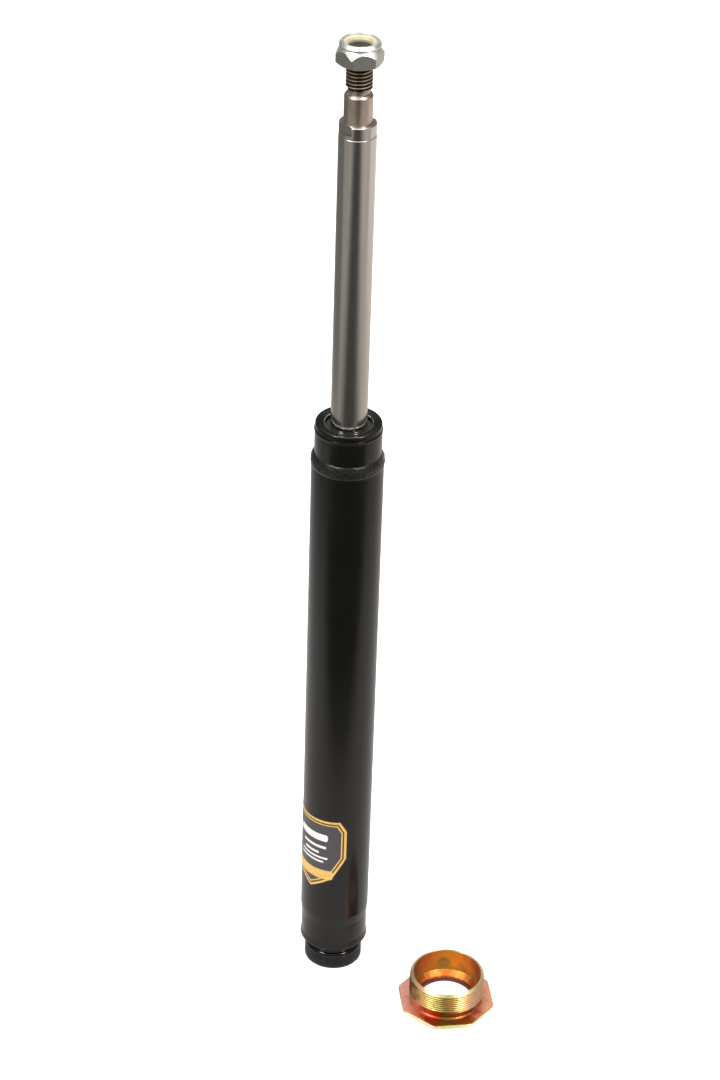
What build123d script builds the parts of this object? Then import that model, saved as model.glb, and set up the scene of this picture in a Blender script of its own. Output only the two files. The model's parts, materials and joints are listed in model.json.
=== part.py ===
from build123d import *
import math
import os

# Twin-tube damper cartridge (strut insert) with its lock nut, and the loose gland nut that
# holds it in a strut housing.
# Frame: +Z up along the rod's axis, origin at the centre of the foot's underside, millimetres.
# The cartridge stands on its foot with the rod fully extended.
# Threads are drawn plain, at their major diameter.

# ---- driving dimensions -------------------------------------------------------------------
TUBE_R = 20.0           # reservoir tube, outside
TUBE_WALL = 1.4
TUBE_BOTTOM_Z = 12.5    # lowest edge of the spun-in end
TUBE_TOP_Z = 349.0
SLEEVE_R = 18.55        # necked sleeve welded into the tube's top
SLEEVE_BORE_R = 16.6
SLEEVE_BOTTOM_Z = 337.0
RIM_TOP_Z = 372.0       # crest of the sleeve's rolled-in end
RIM_BORE_R = 13.6
BEAD_BOTTOM_Z = 345.9
BEAD_TOP_Z = 353.4
BEAD_R = 20.45

FOOT_R = 16.95
FOOT_TOP_Z = 10.5
CAP_NECK_R = 15.2
CAP_TOP_Z = 25.0

BORE_R = 13.5           # working bore of the inner tube
INNER_TUBE_R = 15.0
INNER_TUBE_BOTTOM_Z = 28.0
INNER_TUBE_TOP_Z = 341.0

ROD_R = 10.0
ROD_LAND_Z = 542.4      # start of the spannered land below the shoulder
ROD_SHOULDER_Z = 549.2
LAND_R = 9.85
LAND_FLATS = 17.0       # across the two spanner flats
LAND_FLATS_Z = 544.2    # lower end of the flats
LAND_FLATS_AZ = 44.0    # direction of the flats' normal, degrees from +X
SPIGOT_R = 7.55
SPIGOT_TOP_Z = 565.1
STUD_R = 7.0            # M14 x 2
STUD_TOP_Z = 588.0
THREAD_BOTTOM_Z = 568.0
THREAD_CORE_R = 5.8     # relief below the thread

NUT_SEAT_Z = 581.4      # underside of the lock nut
NUT_ACROSS_FLATS = 22.0
NUT_HEX_H = 8.6
NUT_COLLAR_R = 11.0     # crimped collar
NUT_MOUTH_R = 9.0
NUT_TOP_Z = 594.0
NUT_CORNER_AZ = 11.0    # direction of one hexagon corner

PISTON_SHOULDER_Z = 290.0   # rod shoulder that carries the piston's stack
TENON_R = 6.0
TENON_BOTTOM_Z = 237.0
PISTON_BOTTOM_Z = 271.0
PISTON_H = 14.0

GLAND_X = 68.3          # where the loose gland nut lies, flange down
GLAND_Y = -40.5
GLAND_H = 20.6
GLAND_THREAD_R = 22.0   # M44 x 1.5
GLAND_BORE_R = 19.85
GLAND_BORE_BOTTOM_Z = 6.0
GLAND_HOLE_R = 15.5
GLAND_FLANGE_H = 2.4
GLAND_ACROSS_FLATS = 54.4
GLAND_CORNER_AZ = 30.5

LABEL_AZ = 225.0        # direction that the label faces
LABEL_BOTTOM_Z = 62.0
LABEL_TOP_Z = 113.0
LABEL_HALF_ARC = 22.0   # half its width, along the tube's surface
LABEL_GAP = 0.02
LABEL_THICKNESS = 0.15

FIT = 0.05              # radial clearance of a close fit
RUN = 0.04              # radial clearance of a running fit


# ---- helpers ------------------------------------------------------------------------------
def turned(*corners):
    """Solid of revolution about Z; a corner is (radius, height) or (radius, height, rounding)."""
    points = [(corner[0], 0, corner[1]) for corner in corners]
    rounding = [corner[2] if len(corner) > 2 else 0 for corner in corners]
    outline = FilletPolyline(*points, radius=rounding, close=True)
    return revolve(make_face(outline), Axis.Z)


def ring(outer, inner, low, high):
    """Plain ring between two radii and two heights."""
    return turned((inner, low), (outer, low), (outer, high), (inner, high))


def holes(count, pitch_r, hole_r, low, high, start=0.0):
    """Drilled holes on a circle, as a cutting tool."""
    drill = Pos(0, 0, low) * extrude(Circle(hole_r), high - low)
    turns = [start + 360.0 * i / count for i in range(count)]
    return Compound([(Rot(0, 0, turn) * Pos(pitch_r, 0, 0) * drill).solid() for turn in turns])


def hexagon(across_flats, low, high, corner_az=0.0):
    """Hexagonal bar with one corner at corner_az."""
    outline = RegularPolygon(across_flats / 2, 6, major_radius=False, rotation=corner_az)
    return Pos(0, 0, low) * extrude(outline, high - low)


def coil(mean_r, wire_r, low, high, turns):
    """Coil spring whose wire stays between two heights."""
    rise = high - low - 2 * wire_r
    centre_line = Helix(rise / turns, rise, mean_r, center=(0, 0, low + wire_r))
    wire = (centre_line ^ 0) * Circle(wire_r)
    return sweep(wire, path=centre_line, is_frenet=True)


def slotted_cone_spring(inner_r, outer_r, low, high, thickness, slots):
    """Conical leaf spring: a thin cone cut into fingers from its rim."""
    cone = turned((inner_r, high - thickness), (outer_r, low),
                  (outer_r, low + thickness), (inner_r, high))
    slot_w = 1.6
    slot_l = 0.65 * (outer_r - inner_r)
    cut = Pos(outer_r - slot_l / 2 + 0.5, 0, (low + high) / 2) * Box(slot_l + 1, slot_w, 2 * (high - low))
    for i in range(slots):
        cone -= Rot(0, 0, 360.0 * i / slots) * cut
    return cone


def shim_stack(inner_r, outer_rs, top, thickness):
    """Thin discs stacked downwards from top, a hair apart, one solid each."""
    pitch = thickness + 0.02
    discs = [ring(outer, inner_r, top - i * pitch - thickness, top - i * pitch)
             for i, outer in enumerate(outer_rs)]
    return Compound([disc.solid() for disc in discs])


# ---- casing -------------------------------------------------------------------------------
def base_cap():
    """Cup that closes the tube's bottom; its foot is what the cartridge rests on."""
    pocket_r = BORE_R
    flange_r = 17.6
    return turned((0, 0), (FOOT_R, 0, 0.8), (FOOT_R, FOOT_TOP_Z, 2.0), (CAP_NECK_R, FOOT_TOP_Z + 0.4),
                  (CAP_NECK_R, 13.8), (flange_r, 18.2), (flange_r, CAP_TOP_Z),
                  (pocket_r, CAP_TOP_Z), (pocket_r, 6.0, 2.0), (0, 6.0))


def outer_tube():
    """Reservoir tube: spun-in lower end, shallow waist, straight body, bevelled top."""
    waist_r = 19.35
    waist_low_z, waist_high_z = 20.4, 33.5
    body_z = 40.0
    inside_r = TUBE_R - TUBE_WALL
    waist_inside_r = waist_r - TUBE_WALL
    return turned((16.5, TUBE_BOTTOM_Z, 0.5), (TUBE_R, 16.5, 0.9), (waist_r, waist_low_z, 4.0),
                  (waist_r, waist_high_z, 10.0), (TUBE_R, body_z, 10.0), (TUBE_R, BEAD_BOTTOM_Z),
                  (inside_r, TUBE_TOP_Z), (inside_r, body_z, 10.0), (waist_inside_r, waist_high_z, 10.0),
                  (waist_inside_r, 17.4, 0.8), (15.35, 13.6))


def neck_sleeve():
    """Necked upper sleeve; its end is rolled in over the seal and its rim is open for the rod."""
    ridge_r = SLEEVE_R + 0.3
    crest_r = SLEEVE_R - 0.25
    return turned((SLEEVE_BORE_R, SLEEVE_BOTTOM_Z), (SLEEVE_R, SLEEVE_BOTTOM_Z, 0.5),
                  (SLEEVE_R, 367.0), (ridge_r, 367.5, 0.2), (ridge_r, 368.0, 0.2), (crest_r, 368.8),
                  (crest_r, RIM_TOP_Z - 0.1, 1.0), (16.4, RIM_TOP_Z, 1.0), (RIM_BORE_R, 370.9, 0.3),
                  (RIM_BORE_R, 369.6), (SLEEVE_BORE_R, 370.4, 1.0))


def weld_bead():
    """Weld bead that joins the tube's bevelled top to the sleeve."""
    root_r = SLEEVE_R + 0.08
    return turned((root_r, TUBE_TOP_Z + 0.1), (TUBE_R + 0.02, BEAD_BOTTOM_Z + 0.1),
                  (BEAD_R, BEAD_BOTTOM_Z + 1.7, 1.0), (BEAD_R, BEAD_TOP_Z - 2.8, 1.5),
                  (19.5, BEAD_TOP_Z - 1.2, 1.2), (root_r, BEAD_TOP_Z))


def inner_tube():
    return ring(INNER_TUBE_R, BORE_R, INNER_TUBE_BOTTOM_Z + 0.02, INNER_TUBE_TOP_Z)


def label():
    """Thin label wrapped on the tube: flat top, straight sides, pointed bottom."""
    low_r = TUBE_R + LABEL_GAP
    side_bottom_z = 86.0
    cheek_z = 70.0
    cheek = 0.56 * LABEL_HALF_ARC
    half = [(LABEL_HALF_ARC, LABEL_TOP_Z), (LABEL_HALF_ARC, side_bottom_z), (cheek, cheek_z)]
    wrapped = [(low_r * math.sin(arc / low_r), z) for arc, z in half]
    mirrored = [(-x, z) for x, z in reversed(wrapped)]
    outline = Polyline(*wrapped, (0, LABEL_BOTTOM_Z), *mirrored, close=True)
    face_plane = Plane(origin=(0, 0, 0), x_dir=(1, 0, 0), z_dir=(0, -1, 0))
    blank = extrude(face_plane * make_face(outline), 2 * TUBE_R)
    skin = ring(low_r + LABEL_THICKNESS, low_r, LABEL_BOTTOM_Z - 1, LABEL_TOP_Z + 1)
    return Rot(0, 0, LABEL_AZ + 90) * (skin & blank)


# ---- rod guide and seal -------------------------------------------------------------------
GUIDE_BOTTOM_Z = 333.2
GUIDE_TOP_Z = 358.0
BUSH_R = 11.5
SEAL_R = SLEEVE_BORE_R - 0.1
SEAL_CAP_Z = 368.7
SEAL_CAP_H = 0.8
SEAL_CAP_HOLE_R = ROD_R + 0.35


def rod_guide():
    """Sintered guide: boss in the inner tube, flange in the sleeve, groove for its O-ring."""
    groove_r = 15.0
    bush_seat_r = BUSH_R + FIT
    return turned((bush_seat_r, GUIDE_BOTTOM_Z), (BORE_R - 0.1, GUIDE_BOTTOM_Z, 0.5),
                  (BORE_R - 0.1, INNER_TUBE_TOP_Z + 0.1), (SEAL_R, INNER_TUBE_TOP_Z + 0.1, 0.6),
                  (SEAL_R, 350.9), (groove_r, 350.9), (groove_r, 353.3), (SEAL_R, 353.3),
                  (SEAL_R, GUIDE_TOP_Z), (bush_seat_r, GUIDE_TOP_Z))


def guide_bush():
    return ring(BUSH_R, ROD_R + RUN, GUIDE_BOTTOM_Z + 1.5, GUIDE_TOP_Z - 2.0)


def guide_o_ring():
    return Pos(0, 0, 352.1) * Torus(15.8, 0.72)


def seal_washer():
    return ring(SEAL_R, ROD_R + 0.5, GUIDE_TOP_Z + 0.1, GUIDE_TOP_Z + 2.1)


def rod_seal():
    """Rubber seal: oil lip below, dust lip above, inside the seal cap's hole."""
    lip_r = ROD_R + 0.03
    tip_r = SEAL_CAP_HOLE_R - 0.07
    bottom = GUIDE_TOP_Z + 2.2
    top = SEAL_CAP_Z - 0.1
    return turned((SEAL_R, bottom), (SEAL_R, top), (tip_r, top), (tip_r, top + 0.7), (lip_r, top + 0.7),
                  (lip_r, top - 0.2), (10.9, top - 1.1), (10.9, 363.6), (lip_r, 362.0),
                  (lip_r, 361.2), (11.4, 361.4), (11.9, 363.8), (13.2, 363.4), (13.2, bottom))


def seal_cap():
    """Polished steel washer that the rolled rim holds down on the seal."""
    return ring(SEAL_R, SEAL_CAP_HOLE_R, SEAL_CAP_Z, SEAL_CAP_Z + SEAL_CAP_H)


def garter_spring():
    return Pos(0, 0, 362.1) * Torus(12.2, 0.5)


# ---- rod ----------------------------------------------------------------------------------
STOP_BOTTOM_Z = 319.0
STOP_H = 2.5
STOP_GROOVE_R = 9.2


def piston_rod():
    """Ground rod: piston tenon below, stop-ring groove, spanner land, spigot and stud above."""
    rod = turned((0, TENON_BOTTOM_Z), (TENON_R, TENON_BOTTOM_Z, 0.6), (TENON_R, PISTON_SHOULDER_Z),
                 (ROD_R, PISTON_SHOULDER_Z, 0.5), (ROD_R, STOP_BOTTOM_Z),
                 (STOP_GROOVE_R, STOP_BOTTOM_Z), (STOP_GROOVE_R, STOP_BOTTOM_Z + STOP_H),
                 (ROD_R, STOP_BOTTOM_Z + STOP_H), (ROD_R, ROD_LAND_Z - 0.6),
                 (LAND_R, ROD_LAND_Z), (LAND_R, ROD_SHOULDER_Z, 0.4), (SPIGOT_R, ROD_SHOULDER_Z),
                 (SPIGOT_R, SPIGOT_TOP_Z - 0.7), (SPIGOT_R - 0.7, SPIGOT_TOP_Z),
                 (THREAD_CORE_R, SPIGOT_TOP_Z + 0.6), (THREAD_CORE_R, THREAD_BOTTOM_Z - 1.2),
                 (STUD_R, THREAD_BOTTOM_Z), (STUD_R, STUD_TOP_Z - 1.0), (STUD_R - 1.0, STUD_TOP_Z),
                 (0, STUD_TOP_Z))
    flat_h = ROD_SHOULDER_Z - LAND_FLATS_Z + 0.5
    waste = 5.0
    for side in (0, 180):
        beside = Pos(LAND_FLATS / 2 + waste / 2, 0, LAND_FLATS_Z + flat_h / 2)
        rod -= Rot(0, 0, LAND_FLATS_AZ + side) * beside * Box(waste, 3 * ROD_R, flat_h)
    return rod


def rebound_stop_ring():
    return ring(12.0, STOP_GROOVE_R + FIT, STOP_BOTTOM_Z + FIT, STOP_BOTTOM_Z + STOP_H - FIT)


def rebound_buffer():
    """Rubber ring that meets the rod guide at full extension."""
    low = STOP_BOTTOM_Z + STOP_H + FIT
    return turned((ROD_R + 0.02, low), (12.4, low, 0.8), (12.4, GUIDE_BOTTOM_Z - 0.3, 2.0),
                  (ROD_R + 0.02, GUIDE_BOTTOM_Z - 0.3))


# ---- piston valve -------------------------------------------------------------------------
PISTON_TOP_Z = PISTON_BOTTOM_Z + PISTON_H
PORT_R = 1.2
REBOUND_PORTS_R = 8.0
CHECK_PORTS_R = 10.6


def piston():
    """Piston with an outer ring of check ports, an inner ring of rebound ports and a band groove."""
    skirt_r = BORE_R - 0.15
    band_r = 12.3
    body = turned((TENON_R + FIT, PISTON_BOTTOM_Z), (skirt_r, PISTON_BOTTOM_Z, 0.6), (skirt_r, 274.5),
                  (band_r, 274.5), (band_r, 281.5), (skirt_r, 281.5), (skirt_r, PISTON_TOP_Z, 0.4),
                  (TENON_R + FIT, PISTON_TOP_Z))
    low, high = PISTON_BOTTOM_Z - 1, PISTON_TOP_Z + 1
    body -= holes(6, REBOUND_PORTS_R, PORT_R, low, high)
    body -= holes(6, CHECK_PORTS_R, PORT_R, low, high, start=30)
    return body


def piston_ring():
    return ring(BORE_R - RUN, 12.35, 274.6, 281.4)


def check_plate():
    return ring(12.2, 9.25, PISTON_TOP_Z + 0.02, PISTON_TOP_Z + 1.0)


def check_spring():
    return slotted_cone_spring(TENON_R + 0.1, 11.2, PISTON_TOP_Z + 1.05, 287.95, 0.35, 6)


def backing_washer():
    return ring(11.0, TENON_R + FIT, 288.0, PISTON_SHOULDER_Z - 0.02)


def rebound_shims():
    return shim_stack(TENON_R + 0.08, (9.8, 9.4, 8.8), PISTON_BOTTOM_Z - 0.02, 0.3)


def rebound_seat():
    """Cup washer pressed against the shims by the rebound spring."""
    bore_r = TENON_R + 0.08
    return turned((bore_r, 267.0), (7.2, 267.0), (7.2, 268.2), (9.6, 268.2), (9.6, 269.95), (bore_r, 269.95))


def rebound_spring():
    return coil(8.4, 0.85, 254.9, 268.15, 3.5)


def piston_nut():
    """Hexagon nut with a flange that the rebound spring stands on."""
    nut = hexagon(17.0, 240.0, 252.4) + ring(10.5, TENON_R, 252.4, 254.85)
    return nut - ring(TENON_R + FIT, 0, 239, 256)


# ---- foot valve ---------------------------------------------------------------------------
FOOT_SEAT_Z = CAP_TOP_Z + 0.05
FOOT_VALVE_TOP_Z = 33.0
BOLT_R = 3.0
BOLT_HEAD_Z = 38.0


def foot_valve_body():
    """Valve body between the cap and the inner tube, with slots to the reservoir."""
    bore_r = BOLT_R + FIT
    roof_z = 27.0
    recess_r = 11.0
    body = turned((bore_r, roof_z), (recess_r, roof_z), (recess_r, FOOT_SEAT_Z), (INNER_TUBE_R, FOOT_SEAT_Z),
                  (INNER_TUBE_R, INNER_TUBE_BOTTOM_Z), (BORE_R - 0.05, INNER_TUBE_BOTTOM_Z),
                  (BORE_R - 0.05, FOOT_VALVE_TOP_Z, 0.4), (bore_r, FOOT_VALVE_TOP_Z))
    body -= holes(8, 9.4, 1.1, roof_z - 1, FOOT_VALVE_TOP_Z + 1)
    body -= holes(4, 5.6, 0.9, roof_z - 1, FOOT_VALVE_TOP_Z + 1, start=45)
    slot = Pos(0, 0, FOOT_SEAT_Z) * Box(3 * TUBE_R, 4.0, 2.4)
    for turn in (0, 90):
        body -= Rot(0, 0, turn) * slot
    return body


def foot_intake_plate():
    return ring(11.8, 7.4, FOOT_VALVE_TOP_Z + 0.02, FOOT_VALVE_TOP_Z + 1.0)


def foot_intake_spring():
    return slotted_cone_spring(BOLT_R + 0.1, 11.0, FOOT_VALVE_TOP_Z + 1.05, BOLT_HEAD_Z - 0.05, 0.35, 6)


def foot_compression_shims():
    return shim_stack(BOLT_R + FIT, (7.2, 6.8, 6.2), 26.98, 0.3)


def foot_valve_bolt():
    shank = ring(BOLT_R, 0, 19.0, BOLT_HEAD_Z)
    return shank + hexagon(10.0, BOLT_HEAD_Z, BOLT_HEAD_Z + 4.0)


def foot_valve_nut():
    return hexagon(10.0, 21.0, 25.9) - ring(BOLT_R + FIT, 0, 20, 27)


# ---- lock nut -----------------------------------------------------------------------------
NYLON_R = 9.9
NYLON_Z = 590.0
NYLON_H = 3.0


def lock_nut():
    """Hexagon nut, crimped at its top round a nylon ring."""
    hex_top = NUT_SEAT_Z + NUT_HEX_H
    corner_r = NUT_ACROSS_FLATS / math.sqrt(3)
    facing_r = 10.6
    barrel = turned((0, NUT_SEAT_Z), (facing_r, NUT_SEAT_Z), (corner_r, NUT_SEAT_Z + 1.0),
                    (corner_r, hex_top - 1.6), (facing_r - 0.4, hex_top), (0, hex_top))
    nut = hexagon(NUT_ACROSS_FLATS, NUT_SEAT_Z, hex_top, NUT_CORNER_AZ) & barrel
    neck_r = facing_r - 0.4
    collar = turned((0, hex_top - 0.5), (neck_r, hex_top - 0.5), (neck_r, hex_top + 0.4),
                    (NUT_COLLAR_R, hex_top + 0.9, 0.3), (NUT_COLLAR_R, hex_top + 1.9, 0.9),
                    (9.8, NUT_TOP_Z, 0.35), (NUT_MOUTH_R + 0.1, NUT_TOP_Z, 0.2),
                    (NUT_MOUTH_R, NUT_TOP_Z - 0.5), (0, NUT_TOP_Z - 0.5))
    pocket = ring(NYLON_R + FIT, 0, NYLON_Z, NYLON_Z + NYLON_H + 2 * FIT)
    mouth = ring(NUT_MOUTH_R, 0, NYLON_Z + NYLON_H, NUT_TOP_Z + 1)
    bore = ring(STUD_R + FIT, 0, NUT_SEAT_Z - 1, NYLON_Z + 1)
    return nut + collar - pocket - mouth - bore


def nylon_insert():
    """Nylon ring, rounded off towards its bore, which is a little smaller than the thread's crest."""
    bore_r = 6.2
    low, high = NYLON_Z + FIT, NYLON_Z + NYLON_H + FIT
    return turned((bore_r, low), (NYLON_R, low), (NYLON_R, high), (8.6, high, 0.4),
                  (7.0, high - 0.5, 0.5), (bore_r, high - 1.6))


# ---- gland nut ----------------------------------------------------------------------------
def gland_nut():
    """Ring nut: octagonal flange, undercut, threaded collar, counterbore with a conical seat."""
    undercut_r = 20.7
    thread_z = 7.0
    dimple_r, dimple_z, dimple_az = 3.2, 10.9, -4.5
    octagon = RegularPolygon(GLAND_ACROSS_FLATS / 2, 8, major_radius=False, rotation=GLAND_CORNER_AZ)
    flange = chamfer(extrude(octagon, GLAND_FLANGE_H).edges().group_by(Axis.Z)[-1], 0.4)
    collar = turned((0, 0), (undercut_r, 0), (undercut_r, thread_z - 0.9), (GLAND_THREAD_R, thread_z),
                    (GLAND_THREAD_R, GLAND_H - 0.6), (GLAND_THREAD_R - 0.6, GLAND_H), (0, GLAND_H))
    fillet_ring = turned((undercut_r - 0.5, GLAND_FLANGE_H - 0.5), (undercut_r + 0.9, GLAND_FLANGE_H - 0.5),
                         (undercut_r + 0.9, GLAND_FLANGE_H), (undercut_r, GLAND_FLANGE_H + 0.9),
                         (undercut_r - 0.5, GLAND_FLANGE_H + 0.9))
    seat = turned((0, -1), (GLAND_HOLE_R, -1), (GLAND_HOLE_R, GLAND_FLANGE_H), (16.4, 2.9),
                  (GLAND_BORE_R, GLAND_BORE_BOTTOM_Z), (GLAND_BORE_R, GLAND_H + 1), (0, GLAND_H + 1))
    dimple_tool = Pos(0, GLAND_BORE_R - 1.0, dimple_z) * Rot(-90, 0, 0) * Cylinder(dimple_r, 3.0)
    dimple = Rot(0, 0, dimple_az) * dimple_tool
    nut = flange + collar + fillet_ring - seat - dimple
    return Pos(GLAND_X, GLAND_Y, 0) * nut


NODES = (
    base_cap, outer_tube, neck_sleeve, weld_bead, inner_tube, label,
    rod_guide, guide_bush, guide_o_ring, seal_washer, rod_seal, seal_cap, garter_spring,
    piston_rod, rebound_stop_ring, rebound_buffer,
    piston, piston_ring, check_plate, check_spring, backing_washer,
    rebound_shims, rebound_seat, rebound_spring, piston_nut,
    foot_valve_body, foot_intake_plate, foot_intake_spring,
    foot_compression_shims, foot_valve_bolt, foot_valve_nut,
    lock_nut, nylon_insert, gland_nut,
)

os.makedirs("parts", exist_ok=True)
for node in NODES:
    export_step(node(), f"parts/{node.__name__}.step")
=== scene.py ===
import json
import math

import bmesh
import bpy
from mathutils import Matrix, Vector, noise


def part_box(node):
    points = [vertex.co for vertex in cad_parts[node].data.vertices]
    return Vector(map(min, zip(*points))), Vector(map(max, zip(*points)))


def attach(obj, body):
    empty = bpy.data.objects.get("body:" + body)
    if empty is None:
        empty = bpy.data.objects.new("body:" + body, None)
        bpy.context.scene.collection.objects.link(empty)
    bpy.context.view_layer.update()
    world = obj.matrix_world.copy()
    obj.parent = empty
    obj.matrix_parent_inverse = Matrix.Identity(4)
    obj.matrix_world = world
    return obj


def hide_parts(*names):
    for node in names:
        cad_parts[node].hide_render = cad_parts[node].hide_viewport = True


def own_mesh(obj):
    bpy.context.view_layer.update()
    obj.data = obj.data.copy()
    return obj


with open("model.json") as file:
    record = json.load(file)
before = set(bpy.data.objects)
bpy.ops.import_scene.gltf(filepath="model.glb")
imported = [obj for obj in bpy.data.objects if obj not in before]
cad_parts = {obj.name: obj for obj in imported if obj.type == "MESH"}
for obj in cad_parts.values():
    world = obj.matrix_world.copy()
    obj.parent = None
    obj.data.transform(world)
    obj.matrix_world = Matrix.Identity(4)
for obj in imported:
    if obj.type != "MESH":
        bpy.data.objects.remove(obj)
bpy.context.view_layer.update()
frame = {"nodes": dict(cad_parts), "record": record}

# Damper cartridge for a strut, with its lock nut and the loose gland nut. Visible pieces are
# turned from outlines in millimetres, (radius, height) with an optional rounding, in the CAD frame.

MM = 0.001
TURN = 2 * math.pi
ARC_STEPS = 6           # facets in a rounded corner of an outline
SHARP_ANGLE = 32        # degrees; sharper edges than this shade as edges
THREAD_DEPTH = 0.6134   # depth of a metric thread, as a share of its pitch


# ---- places, all read from the frame, in millimetres ----------------------------------------
class Span:
    """A CAD node's box in millimetres: its upright axis, half its width, its bottom and top."""

    def __init__(self, node):
        low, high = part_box(node)
        self.x, self.y = (low.x + high.x) / 2 / MM, (low.y + high.y) / 2 / MM
        self.low, self.high = low.z / MM, high.z / MM
        self.radius = (high.x - low.x) / 2 / MM


foot = Span("base_cap")
tube = Span("outer_tube")
sleeve = Span("neck_sleeve")
bead = Span("weld_bead")
seal = Span("rod_seal")
cap = Span("seal_cap")
rod = Span("piston_rod")
nut = Span("lock_nut")
ivory = Span("nylon_insert")
gland = Span("gland_nut")
film = Span("label")

TUBE_WALL = 1.4
FOOT_R = 16.95
FOOT_TOP = 10.5
WALL_R = sleeve.radius - 0.3        # the sleeve's plain wall, inside its ridge
SLEEVE_BORE_R = 16.6
RIM_BORE_R = 13.2
STUD_R = 7.0
STUD_PITCH = 2.0
SPIGOT_R = 7.55
LAND = rod.high - 45.6              # heights on the rod, all measured down from its top
FLATS = rod.high - 43.8
SHOULDER = rod.high - 38.8
SPIGOT_TOP = rod.high - 22.9
STUD_FOOT = rod.high - 20.0
GLAND_THREAD_R = 22.0
GLAND_BORE_R = 19.85
GLAND_FLANGE = 2.4                  # thickness of the gland nut's flange
GLAND_SEAT = 6.0                    # height where its bore meets the conical seat
DENT_AT = (94.5, 10.9)              # dimple in its bore: direction in degrees, height
DENT_R = 3.2


# ---- shader expressions ---------------------------------------------------------------------
class Wire:
    """One output in a node tree. Arithmetic on it adds Math nodes."""

    def __init__(self, graph, socket):
        self.graph, self.socket = graph, socket

    def math(self, operation, *values):
        return self.graph.add("ShaderNodeMath", {"operation": operation}, dict(enumerate(values)))

    def __add__(self, other):
        return self.math("ADD", self, other)

    def __sub__(self, other):
        return self.math("SUBTRACT", self, other)

    def __rsub__(self, other):
        return self.math("SUBTRACT", other, self)

    def __mul__(self, other):
        return self.math("MULTIPLY", self, other)

    def __neg__(self):
        return self.math("MULTIPLY", self, -1.0)

    __radd__ = __add__
    __rmul__ = __mul__


class Graph:
    """A node tree, with the few nodes that the finishes and the room are made of."""

    def __init__(self, tree):
        self.tree = tree

    def add(self, kind, settings, inputs, output=0):
        """Adds a node: settings first, then the values or links of its sockets."""
        node = self.tree.nodes.new(kind)
        for name, value in settings.items():
            if name == "stops":
                self.set_stops(node.color_ramp, value)
            else:
                setattr(node, name, value)
        for name, value in inputs.items():
            self.feed(node.inputs[name], value)
        return Wire(self, node.outputs[output])

    def set_stops(self, ramp, stops):
        for position, _ in stops[2:]:
            ramp.elements.new(position)
        for element, (position, colour) in zip(ramp.elements, stops):
            element.position, element.color = position, (*colour, 1)

    def feed(self, socket, value):
        if isinstance(value, Wire):
            self.tree.links.new(value.socket, socket)
        elif isinstance(value, tuple) and len(value) == 3 and socket.type == "RGBA":
            socket.default_value = (*value, 1)
        else:
            socket.default_value = value

    def noise(self, size_mm, detail, where, stretch=None):
        """Noise whose features are about size_mm across, longer along an axis with a small stretch."""
        if stretch:
            where = self.add("ShaderNodeMapping", {}, {"Vector": where, "Scale": stretch})
        return self.add("ShaderNodeTexNoise", {}, {"Vector": where, "Scale": 1 / (size_mm * MM),
                                                   "Detail": detail, "Roughness": 0.55})

    def ramp(self, value, stops):
        return self.add("ShaderNodeValToRGB", {"stops": stops}, {0: value})

    def mix(self, factor, first, second):
        return self.add("ShaderNodeMix", {"data_type": "RGBA"}, {0: factor, 6: first, 7: second}, 2)

    def band(self, value, low, high):
        """0 below low, 1 above high, smooth between."""
        settings = {"interpolation_type": "SMOOTHSTEP"}
        return self.add("ShaderNodeMapRange", settings, {0: value, 1: low, 2: high, 3: 0.0, 4: 1.0})

    def axis(self, vector, name):
        return self.add("ShaderNodeSeparateXYZ", {}, {0: vector}, name)

    def distance(self, vector, point):
        """Distance in metres from a point given in millimetres."""
        return self.add("ShaderNodeVectorMath", {"operation": "DISTANCE"},
                        {0: vector, 1: tuple(c * MM for c in point)}, 1)


class Finish(Graph):
    """A material, built round one Principled shader."""

    def __init__(self, name, **constants):
        self.material = bpy.data.materials.new(name)
        self.material.use_nodes = True
        super().__init__(self.material.node_tree)
        self.shader = next(n for n in self.tree.nodes if n.type == "BSDF_PRINCIPLED")
        for socket, value in constants.items():
            self.set(socket.replace("_", " "), value)
        self.place = self.add("ShaderNodeTexCoord", {}, {}, "Object")

    def set(self, name, value):
        self.feed(self.shader.inputs[name], value)

    def link_into(self, name):
        return Wire(self, self.shader.inputs[name].links[0].from_socket)

    def grain(self, size_mm, detail=2.0, stretch=None):
        return self.noise(size_mm, detail, self.place, stretch)

    def from_axis(self, x, y):
        """Distance in metres from an upright axis given in millimetres."""
        flat = self.add("ShaderNodeMapping", {}, {"Vector": self.place, "Scale": (1, 1, 0)})
        return self.distance(flat, (x, y, 0))

    def bump(self, height, depth_mm, strength=1.0):
        self.set("Normal", self.add("ShaderNodeBump", {}, {"Height": height, "Distance": depth_mm * MM,
                                                           "Strength": strength}))
        return self.material


# ---- finishes -------------------------------------------------------------------------------
def black_paint(name, least_roughness, specular):
    """Stoved black paint: faint orange peel, dust nibs and long duller patches."""
    f = Finish(name, Specular_IOR_Level=specular)
    patches = f.grain(30, 3)
    smears = f.grain(8, 4, stretch=(1, 1, 0.12))
    f.set("Base Color", f.mix(patches, (0.0022, 0.0022, 0.0018), (0.0050, 0.0048, 0.0040)))
    f.set("Roughness", least_roughness + patches * 0.09 + smears * 0.10)
    nibs = f.band(f.grain(0.9, 1), 0.68, 0.78)
    return f.bump(f.grain(1.7, 2) * 0.5 + nibs * 0.8, 0.03, 0.45)


def rough_black_paint():
    """Thin dull paint over a forged foot: grainy, greyer where it has rubbed."""
    f = Finish("rough_black_paint", Specular_IOR_Level=0.28)
    mottle = f.grain(1.2, 5)
    rubbed = f.band(f.grain(2.4, 4), 0.50, 0.72)
    f.set("Base Color", f.mix(rubbed, (0.0030, 0.0028, 0.0024), (0.021, 0.019, 0.015)))
    f.set("Roughness", 0.42 + mottle * 0.3)
    return f.bump(mottle, 0.3, 1.0)


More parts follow.
